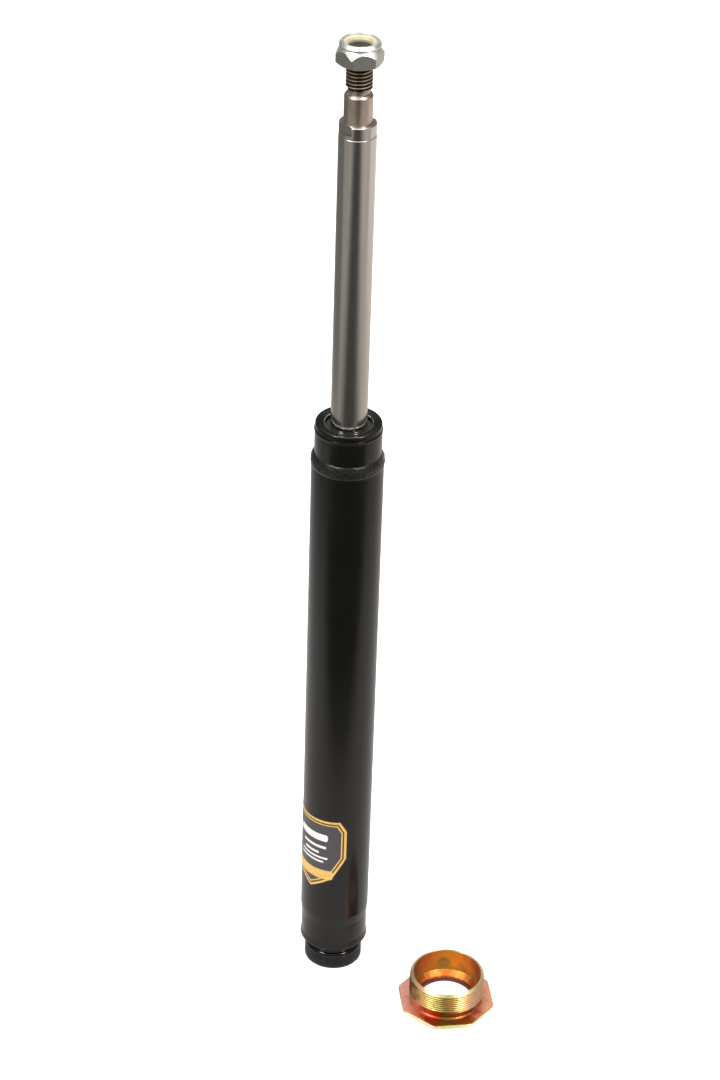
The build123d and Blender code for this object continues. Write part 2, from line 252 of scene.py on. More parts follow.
def weld_paint():
    """The same paint where it has run over the bead, pitted and uneven in gloss."""
    f = Finish("weld_paint", Specular_IOR_Level=0.45)
    pits = f.grain(0.8, 4)
    f.set("Base Color", f.mix(pits, (0.003, 0.003, 0.0026), (0.010, 0.0098, 0.0085)))
    f.set("Roughness", 0.16 + pits * 0.3)
    return f.bump(pits + f.grain(2.0, 2), 0.12, 0.8)


def ground_chrome():
    """Hard chrome, ground round the rod: fine rings, and long thin upright streaks, darker and warmer."""
    f = Finish("ground_chrome", Metallic=1.0)
    rings = f.grain(0.3, 3, stretch=(0.04, 0.04, 1))
    upright_streaks = f.grain(2.6, 3, stretch=(1, 1, 0.02))
    streak_tint = f.grain(4.5, 2, stretch=(1, 1, 0.03))
    clean = f.mix(streak_tint, (0.68, 0.665, 0.63), (0.63, 0.58, 0.545))
    # long upright streaks darken and warm the chrome's colour
    f.set("Base Color", f.mix(upright_streaks * 0.7, clean, (0.44, 0.39, 0.35)))
    f.set("Roughness", 0.10 + upright_streaks * 0.14 + rings * 0.07)
    return f.bump(rings, 0.010, 0.35)


def oiled_steel():
    """Turned steel under a thin brown film of oil, with lathe rings."""
    f = Finish("oiled_steel", Metallic=1.0)
    rings = f.grain(0.28, 2, stretch=(0.03, 0.03, 1))
    stain = f.grain(2.6, 4, stretch=(1, 1, 0.5))
    f.set("Base Color", f.mix(stain, (0.66, 0.57, 0.50), (0.40, 0.31, 0.24)))
    f.set("Roughness", 0.22 + stain * 0.18)
    return f.bump(rings, 0.02, 0.5)


def dark_thread_steel():
    """Rolled thread: painted shade darkens its roots, and its crests are bright."""
    f = Finish("dark_thread_steel", Metallic=1.0)
    grime = f.grain(1.4, 4)
    crest = f.band(f.from_axis(0, 0), (STUD_R - 0.55) * MM, (STUD_R - 0.03) * MM)
    bright = f.mix(grime, (0.62, 0.54, 0.43), (0.36, 0.27, 0.18))
    # painted shade: below the crest band the roots take a near-black brown
    f.set("Base Color", f.mix(crest, (0.08, 0.058, 0.034), bright))
    f.set("Roughness", 0.20 + grime * 0.2)
    return f.bump(grime, 0.03, 0.5)


def polished_washer():
    """Bright steel washer, wiped with oil."""
    f = Finish("polished_washer", Metallic=1.0)
    smear = f.grain(2.2, 3)
    f.set("Base Color", f.mix(smear, (0.34, 0.33, 0.30), (0.16, 0.155, 0.14)))
    f.set("Roughness", 0.07 + smear * 0.12)
    return f.bump(f.grain(1.2, 3), 0.02, 0.3)


def zinc_plate(name, light, dark):
    """Bright zinc plate: fine grain, slightly green, clouded."""
    f = Finish(name, Metallic=1.0)
    cloud = f.grain(2.6, 4)
    grain = f.grain(0.35, 3)
    specks = f.band(grain, 0.38, 0.62)
    f.set("Base Color", f.mix(specks * 0.55 + cloud * 0.35, light, dark))
    f.set("Roughness", 0.26 + cloud * 0.14 + grain * 0.18)
    return f.bump(grain, 0.04, 0.6)


def ivory_nylon():
    f = Finish("ivory_nylon", Subsurface_Weight=0.15, Subsurface_Radius=(0.003, 0.002, 0.0015))
    cloud = f.grain(1.6, 4)
    f.set("Base Color", f.mix(cloud, (0.60, 0.55, 0.38), (0.40, 0.35, 0.20)))
    f.set("Roughness", 0.34 + cloud * 0.15)
    return f.bump(f.grain(0.5, 2), 0.02, 0.3)


def yellow_chromate(name, tints):
    """Zinc under a chromate film whose colour drifts across the nut, with painted shade and painted
    highlights in the drift, and speckles finely.
    """
    f = Finish(name, Metallic=0.75)
    width = 2 * gland.radius
    sideways = f.axis(f.place, "X") * (1 / (width * MM)) - (gland.x / width - 0.5)
    drift = sideways + f.grain(7, 3) * 0.30 - 0.15
    cloud = f.grain(1.5, 5)
    # the tint ramp carries painted shade and painted highlights along with the film's own colours
    tint = f.ramp(drift, tints)
    specks = f.band(f.grain(0.55, 2), 0.60, 0.72)
    f.set("Base Color", f.mix(specks * 0.45, tint, (0.30, 0.10, 0.02)))
    f.set("Roughness", 0.20 + cloud * 0.22)
    return f, f.grain(0.4, 3) + cloud * 0.6


def chromate_on(name, tints):
    f, texture = yellow_chromate(name, tints)
    return f.bump(texture, 0.035, 0.6)


def chromate_on_thread(tints):
    """The same film on the thread, with painted shade darkening it to brown in its roots."""
    f, texture = yellow_chromate("chromate_on_thread", tints)
    tint = f.link_into("Base Color")
    crest = f.band(f.from_axis(gland.x, gland.y), (GLAND_THREAD_R - 0.7) * MM, (GLAND_THREAD_R - 0.05) * MM)
    # painted shade: the roots are darkened towards a dark brown
    f.set("Base Color", f.mix(crest, f.mix(0.72, tint, (0.10, 0.055, 0.012)), tint))
    return f.bump(texture, 0.035, 0.6)


# how the film's tint drifts across the nut, from its left side (0) to its right (1): the film's own colours,
# mixed with painted shade darkening the front middle of the thread and flange and the two sides of the bore,
# and painted highlights on the thread and flange towards their sides
THREAD_TINTS = ((0.12, (0.22, 0.11, 0.03)), (0.22, (0.94, 0.54, 0.22)), (0.36, (0.72, 0.56, 0.17)),
                (0.48, (0.30, 0.20, 0.03)), (0.56, (0.52, 0.27, 0.06)), (0.66, (0.78, 0.54, 0.20)),
                (0.76, (0.98, 0.56, 0.30)), (0.88, (1.0, 0.60, 0.38)))
FLANGE_TINTS = ((0.06, (0.98, 0.46, 0.36)), (0.20, (0.92, 0.30, 0.16)), (0.30, (0.42, 0.055, 0.015)),
                (0.42, (0.36, 0.05, 0.012)), (0.48, (0.20, 0.12, 0.02)), (0.60, (0.30, 0.09, 0.014)),
                (0.76, (0.36, 0.08, 0.018)), (0.92, (0.94, 0.43, 0.27)))
FACE_TINTS = ((0.12, (0.72, 0.56, 0.36)), (0.30, (0.72, 0.49, 0.30)), (0.44, (0.64, 0.44, 0.26)),
              (0.50, (0.38, 0.42, 0.15)), (0.60, (0.43, 0.45, 0.17)), (0.70, (0.76, 0.60, 0.36)),
              (0.88, (0.78, 0.52, 0.30)))
BORE_TINTS = ((0.10, (0.20, 0.10, 0.012)), (0.24, (0.50, 0.12, 0.012)), (0.42, (0.66, 0.19, 0.012)),
              (0.60, (0.82, 0.24, 0.012)), (0.76, (0.60, 0.15, 0.012)), (0.90, (0.24, 0.08, 0.010)))


def chromate_in_bore(tints):
    """The bore's film: orange, with an olive halo round the dimple and along the shoulder, and painted shade
    darkening the wall low down, by the hole.
    """
    f, texture = yellow_chromate("chromate_in_bore", tints)
    tint = f.link_into("Base Color")
    towards = math.radians(DENT_AT[0])
    centre = (gland.x + GLAND_BORE_R * math.cos(towards), gland.y + GLAND_BORE_R * math.sin(towards),
              DENT_AT[1])
    away = f.distance(f.place, centre) + (f.grain(1.2, 3) - 0.5) * (1.6 * MM)
    halo = f.band(-away, -(DENT_R + 2.4) * MM, -(DENT_R - 0.4) * MM)
    middle = f.band(-away, -(DENT_R - 0.9) * MM, -(DENT_R - 1.8) * MM)
    height = f.axis(f.place, "Z")
    wavering = height + (f.grain(3, 3) - 0.5) * (4 * MM)
    ledge = 1 - f.band(wavering, (GLAND_SEAT + 0.4) * MM, (GLAND_SEAT + 3.4) * MM)
    above_seat = f.band(height, (GLAND_SEAT - 0.3) * MM, (GLAND_SEAT + 0.1) * MM)
    f.set("Roughness", 0.30 + f.grain(1.5, 3) * 0.2)
    olive = f.mix(ledge * above_seat * 0.75, tint, (0.32, 0.25, 0.03))
    spotted = f.mix(halo * 0.8, olive, (0.24, 0.19, 0.03))
    marked = f.mix(middle * 0.9, spotted, (0.46, 0.14, 0.03))
    pink = f.band(f.grain(2.4, 3), 0.50, 0.62) * (1 - above_seat)
    browned = f.mix((1 - above_seat) * 0.3, marked, (0.30, 0.09, 0.01))
    seated = f.mix(pink * 0.6, browned, (0.70, 0.22, 0.12))
    # painted shade: the hole's wall and the foot of the seat go deep brown, just above the flange
    uneven = height + (f.grain(1.6, 2) - 0.5) * (1.2 * MM)
    painted_hole_shade = 1 - f.band(uneven, (GLAND_FLANGE + 0.3) * MM, (GLAND_FLANGE + 1.3) * MM)
    f.set("Base Color", f.mix(painted_hole_shade, seated, (0.12, 0.025, 0.008)))
    return f.bump(texture, 0.035, 0.6)


def nitrile_rubber():
    f = Finish("nitrile_rubber")
    dust = f.grain(2.2, 4)
    f.set("Base Color", f.mix(dust, (0.010, 0.010, 0.0095), (0.028, 0.027, 0.024)))
    f.set("Roughness", 0.34 + dust * 0.2)
    return f.bump(f.grain(0.8, 3), 0.03, 0.5)


def wiped_edge():
    """Bare steel where the rolled rim has lost its paint, broken up by specks of it."""
    f = Finish("wiped_edge")
    left = f.band(f.grain(0.75, 3), 0.40, 0.48)
    f.set("Base Color", f.mix(left, (0.012, 0.012, 0.011), (0.95, 0.93, 0.88)))
    f.set("Metallic", left)
    f.set("Roughness", 0.28 + f.grain(1.0, 2) * 0.2)
    return f.bump(f.grain(0.5, 3), 0.2, 1.0)


def plain_metal(name, light, dark, grain_mm, base_roughness):
    """Machined or sintered metal of the inner pieces."""
    f = Finish(name, Metallic=1.0)
    f.set("Base Color", f.mix(f.grain(5, 3), light, dark))
    fine = f.grain(grain_mm, 3)
    f.set("Roughness", base_roughness + fine * 0.15)
    return f.bump(fine, 0.02, 0.5)


def filled_ptfe():
    f = Finish("filled_ptfe")
    cloud = f.grain(3, 3)
    f.set("Base Color", f.mix(cloud, (0.20, 0.15, 0.10), (0.12, 0.09, 0.06)))
    f.set("Roughness", 0.42 + cloud * 0.15)
    return f.bump(f.grain(0.6, 2), 0.02, 0.4)


def gold_foil():
    """Foil print, darker where it is rubbed."""
    f = Finish("gold_foil", Metallic=0.45)
    rub = f.grain(1.6, 4)
    f.set("Base Color", f.mix(rub, (0.95, 0.66, 0.22), (0.66, 0.34, 0.07)))
    f.set("Roughness", 0.34 + rub * 0.2)
    return f.bump(f.grain(0.5, 2), 0.01, 0.4)


def label_ink(name, light, dark):
    f = Finish(name)
    dots = f.grain(0.6, 3)
    f.set("Base Color", f.mix(dots, light, dark))
    f.set("Roughness", 0.36 + dots * 0.12)
    return f.bump(f.grain(1.2, 2), 0.01, 0.3)


# ---- mesh tools -----------------------------------------------------------------------------
def rounded(corners):
    """Outline points, with each (radius, height, rounding) corner turned into an arc."""
    points = []
    for i, corner in enumerate(corners):
        here = Vector(corner[:2])
        if len(corner) < 3:
            points.append(here)
            continue
        into = (Vector(corners[i - 1][:2]) - here).normalized()
        out = (Vector(corners[(i + 1) % len(corners)][:2]) - here).normalized()
        half = into.angle(out) / 2
        centre = here + (into + out).normalized() * corner[2] / math.sin(half)
        reach = corner[2] / math.tan(half)
        start, end = here + into * reach - centre, here + out * reach - centre
        for step in range(ARC_STEPS + 1):
            points.append(centre + start.lerp(end, step / ARC_STEPS).normalized() * corner[2])
    return points


def turned(corners, steps=128, closed=True):
    """A bmesh spun about Z from an outline; an open outline starts and ends on the axis."""
    bm = bmesh.new()
    line = [bm.verts.new((r * MM, 0, z * MM)) for r, z in rounded(corners)]
    for pair in zip(line, line[1:] + (line[:1] if closed else [])):
        bm.edges.new(pair)
    bmesh.ops.spin(bm, geom=bm.verts[:] + bm.edges[:], cent=(0, 0, 0), axis=(0, 0, 1), dvec=(0, 0, 0),
                   angle=TURN, steps=steps, use_merge=True)
    bmesh.ops.remove_doubles(bm, verts=bm.verts, dist=1e-7)
    bmesh.ops.dissolve_degenerate(bm, edges=bm.edges, dist=1e-8)
    bmesh.ops.recalc_face_normals(bm, faces=bm.faces)
    return bm


def joined(*shapes):
    """One bmesh that holds several closed shapes, with their materials."""
    whole = bmesh.new()
    for shape in shapes:
        part = bpy.data.meshes.new("part")
        shape.to_mesh(part)
        shape.free()
        whole.from_mesh(part)
        bpy.data.meshes.remove(part)
    return whole


def polar(point):
    """(radius, angle, height) of a point, in millimetres."""
    return math.hypot(point.x, point.y) / MM, math.atan2(point.y, point.x), point.z / MM


def put(vertex, radius, angle, height):
    vertex.co = Vector((radius * math.cos(angle), radius * math.sin(angle), height)) * MM


def paint_faces(bm, rule):
    """Gives each face the material number that the rule makes of its middle's radius and height."""
    for face in bm.faces:
        radius, _, height = polar(face.calc_center_median())
        face.material_index = rule(radius, height)


def flat_radius(angle, half_width, sides, corner_angle, corner_r):
    """Radius of a regular polygon at an angle, its corners trimmed to corner_r."""
    sector = TURN / sides
    from_flat = (angle - corner_angle) % sector - sector / 2
    return min(half_width / math.cos(from_flat), corner_r)


def piece(bm, name, body, node, materials, sharp=SHARP_ANGLE):
    """Makes the finished object, which rides on a body and stands for its CAD node."""
    mesh = bpy.data.meshes.new(name)
    bm.to_mesh(mesh)
    bm.free()
    for material in materials:
        mesh.materials.append(material)
    mesh.shade_smooth()
    mesh.set_sharp_from_angle(angle=math.radians(sharp))
    thing = bpy.data.objects.new(name, mesh)
    bpy.context.scene.collection.objects.link(thing)
    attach(thing, body)
    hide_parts(node)
    return thing


def pull_rim(bm, rim, radius, height):
    """Extrudes a rim of edges to a radius and height; returns the new rim."""
    grown = bmesh.ops.extrude_edge_only(bm, edges=rim)["geom"]
    for vertex in (g for g in grown if isinstance(g, bmesh.types.BMVert)):
        put(vertex, radius, polar(vertex.co)[1], height)
    return [g for g in grown if isinstance(g, bmesh.types.BMEdge) and g.is_boundary]


def thread(major_r, pitch, low, high, end_r, lead, inner_r=0.0, steps=96):
    """A right-hand thread as a closed shell: one helical spin, cut level, its ends run out."""
    root_r = major_r - THREAD_DEPTH * pitch
    blunt = 0.07 * pitch
    tooth = ((major_r - blunt, -0.06), (major_r, 0.02), (major_r, 0.12), (major_r - blunt, 0.20),
             (root_r + blunt, 0.40), (root_r, 0.48), (root_r, 0.66), (root_r + blunt, 0.74))
    bm = bmesh.new()
    first = low - 2 * pitch
    line = [bm.verts.new((r * MM, 0, (first + (i + share) * pitch) * MM))
            for i in range(math.ceil((high - low) / pitch) + 3) for r, share in tooth]
    for pair in zip(line, line[1:]):
        bm.edges.new(pair)
    bmesh.ops.spin(bm, geom=bm.verts[:] + bm.edges[:], cent=(0, 0, 0), axis=(0, 0, 1),
                   dvec=(0, 0, pitch * MM / steps), angle=TURN, steps=steps, use_merge=False)
    bmesh.ops.remove_doubles(bm, verts=bm.verts, dist=1e-6)
    rims = []
    for height, side in ((low, -1), (high, 1)):
        bmesh.ops.bisect_plane(bm, geom=bm.verts[:] + bm.edges[:] + bm.faces[:],
                               plane_co=(0, 0, height * MM), plane_no=(0, 0, side), clear_outer=True)
        rim = [e for e in bm.edges if e.is_boundary
               and all(abs(v.co.z - height * MM) < 1e-8 for v in e.verts)]
        rims.append(pull_rim(bm, rim, end_r, height + side * lead))
    if inner_r:
        walls = [pull_rim(bm, rim, inner_r, height + side * lead)
                 for rim, height, side in zip(rims, (low, high), (-1, 1))]
        bmesh.ops.bridge_loops(bm, edges=walls[0] + walls[1])
    else:
        for rim in rims:
            bmesh.ops.contextual_create(bm, geom=rim)
    bmesh.ops.recalc_face_normals(bm, faces=bm.faces)
    return bm


# ---- casing ---------------------------------------------------------------------------------
def make_tube(paint):
    """Reservoir tube: spun-in end with its lip, shallow waist, straight body, bevelled top."""
    waist_r = tube.radius - 0.65
    body = tube.low + 27.5
    bore = tube.radius - TUBE_WALL
    bm = turned([
        (16.5, tube.low, 0.5), (tube.radius, tube.low + 4.0, 0.9), (waist_r, tube.low + 7.9, 4.0),
        (waist_r, body - 6.5, 10.0), (tube.radius, body, 10.0), (tube.radius, bead.low, 0.2),
        (bore, tube.high), (bore, body, 10.0), (waist_r - TUBE_WALL, body - 6.5, 10.0),
        (waist_r - TUBE_WALL, tube.low + 4.9, 0.8), (15.35, tube.low + 1.1)], steps=160)
    piece(bm, "reservoir_tube", "casing", "outer_tube", [paint])


def make_foot(rough, paint):
    """Closing cup: a grainy foot below, with a smooth rolled shoulder above it."""
    neck_r, cup_r, base = 15.2, 13.5, 6.0
    bm = turned([
        (0, foot.low), (FOOT_R, foot.low, 0.5), (FOOT_R, FOOT_TOP, 2.2), (neck_r, FOOT_TOP + 0.4, 0.3),
        (neck_r, 13.8), (foot.radius, 18.2), (foot.radius, foot.high), (cup_r, foot.high),
        (cup_r, base, 2.0), (0, base)], closed=False)
    paint_faces(bm, lambda radius, height: int(height > FOOT_TOP - 2.3))
    piece(bm, "foot_cap", "casing", "base_cap", [rough, paint])


def make_sleeve(paint, bare):
    """Necked sleeve: crisp ridge ring, then the end rolled inwards to a bare edge."""
    top = sleeve.high
    crest_r = WALL_R - 0.25
    bm = turned([
        (SLEEVE_BORE_R, sleeve.low), (WALL_R, sleeve.low, 0.4), (WALL_R, top - 5.0, 0.4),
        (sleeve.radius, top - 4.5, 0.2), (sleeve.radius, top - 4.0, 0.2), (crest_r, top - 3.2, 0.2),
        (crest_r, top - 0.05, 0.9), (16.9, top, 0.9), (RIM_BORE_R + 0.3, top - 0.85, 0.2),
        (RIM_BORE_R, top - 1.1, 0.1), (RIM_BORE_R, top - 2.4), (SLEEVE_BORE_R, top - 1.6, 1.0)], steps=160)
    paint_faces(bm, lambda radius, height: int(radius < RIM_BORE_R + 0.3 and height > top - 1.3))
    piece(bm, "necked_sleeve", "casing", "neck_sleeve", [paint, bare])


def make_bead(paint):
    """Weld bead: overlapping ripples with rough, uneven edges."""
    root_r = WALL_R + 0.02
    rise = bead.high - bead.low
    rows = 18
    crown = [(tube.radius + 0.02 + 0.36 * math.sin(math.pi * k / rows) ** 0.6 - 1.5 * (k / rows) ** 3,
              bead.low + rise * k / rows) for k in range(rows + 1)]
    bm = turned([(root_r, bead.low + 3.0), *crown, (root_r, bead.high)], steps=320)
    for vertex in bm.verts:
        radius, angle, height = polar(vertex.co)
        share = (height - bead.low) / rise
        if radius < root_r + 0.05 or not 0.02 < share < 0.98:
            continue
        across = math.sin(math.pi * share) ** 0.5
        spot = Vector((math.cos(angle) * 14, math.sin(angle) * 14, height))
        ripple = abs(math.sin(20 * angle + 1.6 * share + 2.5 * noise.noise(spot * 0.2)))
        lift = 0.10 * ripple + 0.30 * noise.fractal(spot * 0.8, 1.0, 2.0, 3) - 0.06
        sway = 0.9 * noise.noise(spot * 0.35) * share
        put(vertex, min(radius + across * lift, bead.radius - 0.02), angle, height + across * sway)
    piece(bm, "weld_seam", "casing", "weld_bead", [paint], sharp=60)


def make_seal(rubber, bright):
    """Rubber seal, and over it the washer that the rolled rim holds down."""
    lip = rod.radius + 0.03
    tip = cap.low - 0.1
    hole = rod.radius + 0.35
    bm = turned([
        (seal.radius, seal.low), (seal.radius, tip), (hole - 0.07, tip), (hole - 0.07, tip + 0.4),
        (lip, tip + 0.3), (lip, tip - 0.2), (10.9, tip - 1.1), (10.9, seal.low + 3.4),
        (lip, seal.low + 1.8), (lip, seal.low + 1.0), (11.4, seal.low + 1.2), (11.9, seal.low + 3.6),
        (13.2, seal.low + 3.2), (13.2, seal.low)])
    piece(bm, "dust_seal", "casing", "rod_seal", [rubber])
    washer = turned([
        (hole, cap.low), (cap.radius, cap.low), (cap.radius, cap.high - 0.03, 0.1),
        (hole, cap.high - 0.03)])
    piece(washer, "seal_washer_cap", "casing", "seal_cap", [bright])


# ---- rod ------------------------------------------------------------------------------------
def make_rod(chrome, steel, dark):
    """Rod with its piston tenon, stop groove, spanner land, spigot and threaded stud."""
    r = rod.radius
    tenon_r, tenon_top = 6.0, 290.0
    groove_r, groove, groove_top = 9.2, 319.0, 321.5
    land_r = r - 0.15
    relief_r = 5.8
    bm = turned([
        (0, rod.low), (tenon_r, rod.low, 0.6), (tenon_r, tenon_top), (r, tenon_top, 0.5), (r, groove),
        (groove_r, groove), (groove_r, groove_top), (r, groove_top),
        (r, LAND - 0.55, 0.1), (r - 0.3, LAND - 0.2), (r - 0.3, LAND), (land_r, LAND + 0.15, 0.1),
        (land_r, FLATS), (land_r, FLATS + 0.05), (land_r, SHOULDER - 0.45), (land_r - 0.4, SHOULDER),
        (SPIGOT_R + 0.1, SHOULDER), (SPIGOT_R, SHOULDER + 0.5), (SPIGOT_R, SPIGOT_TOP - 1.1, 0.15),
        (SPIGOT_R - 0.9, SPIGOT_TOP, 0.1), (relief_r, SPIGOT_TOP + 0.3),
        (relief_r, STUD_FOOT), (0, STUD_FOOT)], steps=160, closed=False)
    half_flats = 8.5 * MM
    facing = math.radians(44)
    normal = Vector((math.cos(facing), math.sin(facing), 0))
    for vertex in bm.verts:
        if FLATS + 0.03 < vertex.co.z / MM < SHOULDER + 0.01:
            depth = vertex.co.dot(normal)
            vertex.co -= normal * math.copysign(max(abs(depth) - half_flats, 0), depth)
    paint_faces(bm, lambda radius, height: int(height > SHOULDER - 0.2))
    stud = thread(STUD_R, STUD_PITCH, STUD_FOOT + 0.2, rod.high - 1.0, relief_r, 1.0, steps=112)
    for face in stud.faces:
        face.material_index = 2
    piece(joined(bm, stud), "rod_with_stud", "rod", "piston_rod", [chrome, steel, dark])


# ---- lock nut -------------------------------------------------------------------------------
def make_lock_nut(zinc, shaded_zinc, nylon):
    """Hexagon nut: each column of the spun wall is moved to the hexagon, cut by chamfer cones."""
    low, high = nut.low, nut.high - 0.4
    half = 11.0                     # half the width across the flats
    face_r, barrel_r, corner_r = 10.7, 12.4, 12.6
    neck_r, neck = 10.2, low + 9.3
    slope = 1.6
    mouth_r, pocket_r, tapped_r = 8.4, 9.9, 7.05
    bm = turned([
        (face_r, low), (barrel_r, low + 0.5), (barrel_r, low + 7.0), (neck_r + 0.01, neck - 0.01),
        (neck_r, neck), (neck_r, neck + 0.25), (half, neck + 0.7, 0.25), (half, neck + 1.2, 0.7),
        (9.75, high, 0.3), (mouth_r + 0.2, high - 0.02, 0.2), (mouth_r, high - 0.5),
        (mouth_r, ivory.high - 0.1), (pocket_r, ivory.high - 0.1), (pocket_r, ivory.low),
        (tapped_r, ivory.low), (tapped_r, low + 0.6), (7.6, low)], steps=144)
    corner = math.radians(11)
    for vertex in bm.verts:
        radius, angle, height = polar(vertex.co)
        if abs(radius - barrel_r) > 0.01:
            continue
        flat = flat_radius(angle, half, 6, corner, corner_r)
        if height > low + 3:
            put(vertex, flat, angle, neck - slope * (flat - neck_r))
        else:
            put(vertex, flat, angle, low + 0.5 * max(flat - face_r, 0))
    bm.normal_update()
    # painted shade: the hexagon's upright faces below the neck take the darker copy of the zinc; the top and
    # chamfers keep the lighter copy
    for face in bm.faces:
        radius, _, height = polar(face.calc_center_median())
        face.material_index = int(abs(face.normal.z) < 0.2 and radius > neck_r + 0.3 and height < neck)
    piece(bm, "lock_nut_shell", "top_nut", "lock_nut", [zinc, shaded_zinc], sharp=24)
    top, hole_r, ring_r = ivory.high - 0.15, 6.2, pocket_r - 0.05
    ring = turned([
        (hole_r, ivory.low), (ring_r, ivory.low), (ring_r, top), (8.3, top, 0.4), (7.0, top - 0.5, 0.5),
        (hole_r, top - 1.7, 0.3)])
    piece(ring, "nylon_ring", "top_nut", "nylon_insert", [nylon])


# ---- gland nut ------------------------------------------------------------------------------
def make_gland_nut(on_thread, on_flange, in_bore, on_face):
    """Ring nut: octagonal flange, undercut, helical thread, counterbore and conical seat."""
    hole_r, bore_r, major_r, undercut_r = 15.5, GLAND_BORE_R, GLAND_THREAD_R, 20.7
    half_flat, edge_r = 27.2, 29.5
    flange, thread_low = GLAND_FLANGE, 7.0
    pitch = 1.5
    top = gland.high
    core_r = major_r - THREAD_DEPTH * pitch + 0.02
    thread_high = top - 1.5
    wall = [(bore_r, top - 0.5 - 0.55 * i) for i in range(1, 25)]
    bm = turned([
        (hole_r, 0, 0.3), (edge_r - 0.3, 0), (edge_r, 0.3), (edge_r, flange - 0.5),
        (edge_r - 0.5, flange), (undercut_r + 0.9, flange, 0.4), (undercut_r, flange + 0.9, 0.6),
        (undercut_r, thread_low - 0.9), (core_r, thread_low - 0.1), (core_r, thread_high + 0.1),
        (major_r - 0.1, thread_high + 0.15), (major_r - 1.5, top, 0.3), (bore_r + 0.4, top, 0.2),
        (bore_r, top - 0.5), *wall, (bore_r, GLAND_SEAT, 0.15), (16.4, flange + 0.5, 0.4),
        (hole_r, flange, 0.3)], steps=176)
    corner = math.radians(30.5)
    dent_angle, dent_z = math.radians(DENT_AT[0]), DENT_AT[1]
    for vertex in bm.verts:
        radius, angle, height = polar(vertex.co)
        if radius > edge_r - 0.6:
            flat = flat_radius(angle, half_flat, 8, corner, half_flat / math.cos(math.pi / 8) - 0.3)
            put(vertex, flat + radius - edge_r, angle, height)
        elif abs(radius - bore_r) < 0.01:
            away = math.hypot((angle - dent_angle) * bore_r, height - dent_z) / DENT_R
            put(vertex, radius + 0.5 * max(1 - away ** 4, 0), angle, height)
    bm.normal_update()
    for face in bm.faces:
        radius, _, height = polar(face.calc_center_median())
        if radius < bore_r + 0.6 and height < top - 0.45:
            face.material_index = 2
        elif radius > half_flat - 0.75 and height > 0.2:
            face.material_index = 3 if abs(face.normal.z) < 0.95 else 1
        elif height < thread_low - 0.15:
            face.material_index = 1
        elif height > thread_high + 0.1:
            face.material_index = 3
    shell = thread(major_r, pitch, thread_low + 0.2, thread_high, core_r - 0.05, 0.3, inner_r=20.4, steps=176)
    bm = joined(bm, shell)
    bmesh.ops.translate(bm, verts=bm.verts, vec=Vector((gland.x, gland.y, 0)) * MM)
    piece(bm, "gland_ring_nut", "gland", "gland_nut",
          [on_thread, on_flange, in_bore, on_face])


# ---- label ----------------------------------------------------------------------------------
LABEL_AZ = math.radians(225)
LABEL_HALF = 22.0
INK = 0.02              # thickness of a printed mark, and how far it is sunk into the film


def wrapped(bm, base_r, thickness, material=None):
    """Bends flat artwork (x across, z up, millimetres) round the tube and gives it a thickness."""
    slices = 32
    for k in range(1, slices):
        bmesh.ops.bisect_plane(bm, geom=bm.verts[:] + bm.edges[:] + bm.faces[:], plane_no=(1, 0, 0),
                               plane_co=(LABEL_HALF * (2 * k / slices - 1), 0, 0))
    for vertex in bm.verts:
        put(vertex, base_r, LABEL_AZ + vertex.co.x / tube.radius, vertex.co.z)
    bmesh.ops.recalc_face_normals(bm, faces=bm.faces)
    outside = bmesh.ops.extrude_face_region(bm, geom=bm.faces[:])["geom"]
    for vertex in (g for g in outside if isinstance(g, bmesh.types.BMVert)):
        _, angle, height = polar(vertex.co)
        put(vertex, base_r + thickness, angle, height)
    bmesh.ops.recalc_face_normals(bm, faces=bm.faces)
    if material is not None:
        for face in bm.faces:
            face.material_index = material
    return bm


def bar(centre_z, half_length, height, offset=0.0):
    """Flat bar with rounded ends, as artwork."""
    bm = bmesh.new()
    bmesh.ops.create_grid(bm, x_segments=1, y_segments=1, size=1)
    bmesh.ops.rotate(bm, verts=bm.verts, matrix=Matrix.Rotation(math.pi / 2, 3, "X"))
    bmesh.ops.scale(bm, verts=bm.verts, vec=(half_length, 1, height / 2))
    bmesh.ops.bevel(bm, geom=bm.verts[:], offset=height * 0.3, segments=3, profile=0.5, affect="VERTICES",
                    material=-1)
    bmesh.ops.translate(bm, verts=bm.verts, vec=(offset, 0, centre_z))
    return bm


def make_label(gold, dark, charcoal, pale):
    """Plain film label: gold, dark and gold borders, a charcoal field, blank bars and a gold sash."""
    low, high = film.low, film.high
    half = [(18, high), (LABEL_HALF, high - 7), (LABEL_HALF, high - 27), (0.62 * LABEL_HALF, low + 9)]
    outline = half + [(0, low)] + [(-x, z) for x, z in reversed(half)]
    bm = bmesh.new()
    bm.faces.new([bm.verts.new((x, 0, z)) for x, z in outline])
    bm.normal_update()
    for width, material in ((1.4, 0), (1.0, 1), (0.8, 0)):
        middle = max(bm.faces, key=lambda face: face.calc_area())
        ring = bmesh.ops.inset_region(bm, faces=[middle], thickness=width, use_even_offset=True,
                                      use_boundary=True)["faces"]
        for face in ring:
            face.material_index = material
        middle.material_index = 2
    base_r = tube.radius + 0.02
    film_t = 0.12
    wrapped(bm, base_r, film_t)
    face_r = base_r + film_t - 0.01
    rows = ((high - 12.5, 11.0, 4.8, 0.0), (high - 19.5, 8.5, 1.8, 1.5), (high - 24.0, 5.5, 1.6, 0.0),
            (high - 27.4, 10.0, 1.3, 1.0), (high - 30.2, 9.0, 1.3, -0.5))
    marks = [wrapped(bar(z, half_length, tall, off), face_r, INK, 3) for z, half_length, tall, off in rows]
    sash = wrapped(bar(low + 11.5, 14.5, 6.5), face_r, INK, 0)
    piece(joined(bm, sash, *marks), "printed_label", "casing", "label",
          [gold, dark, charcoal, pale])


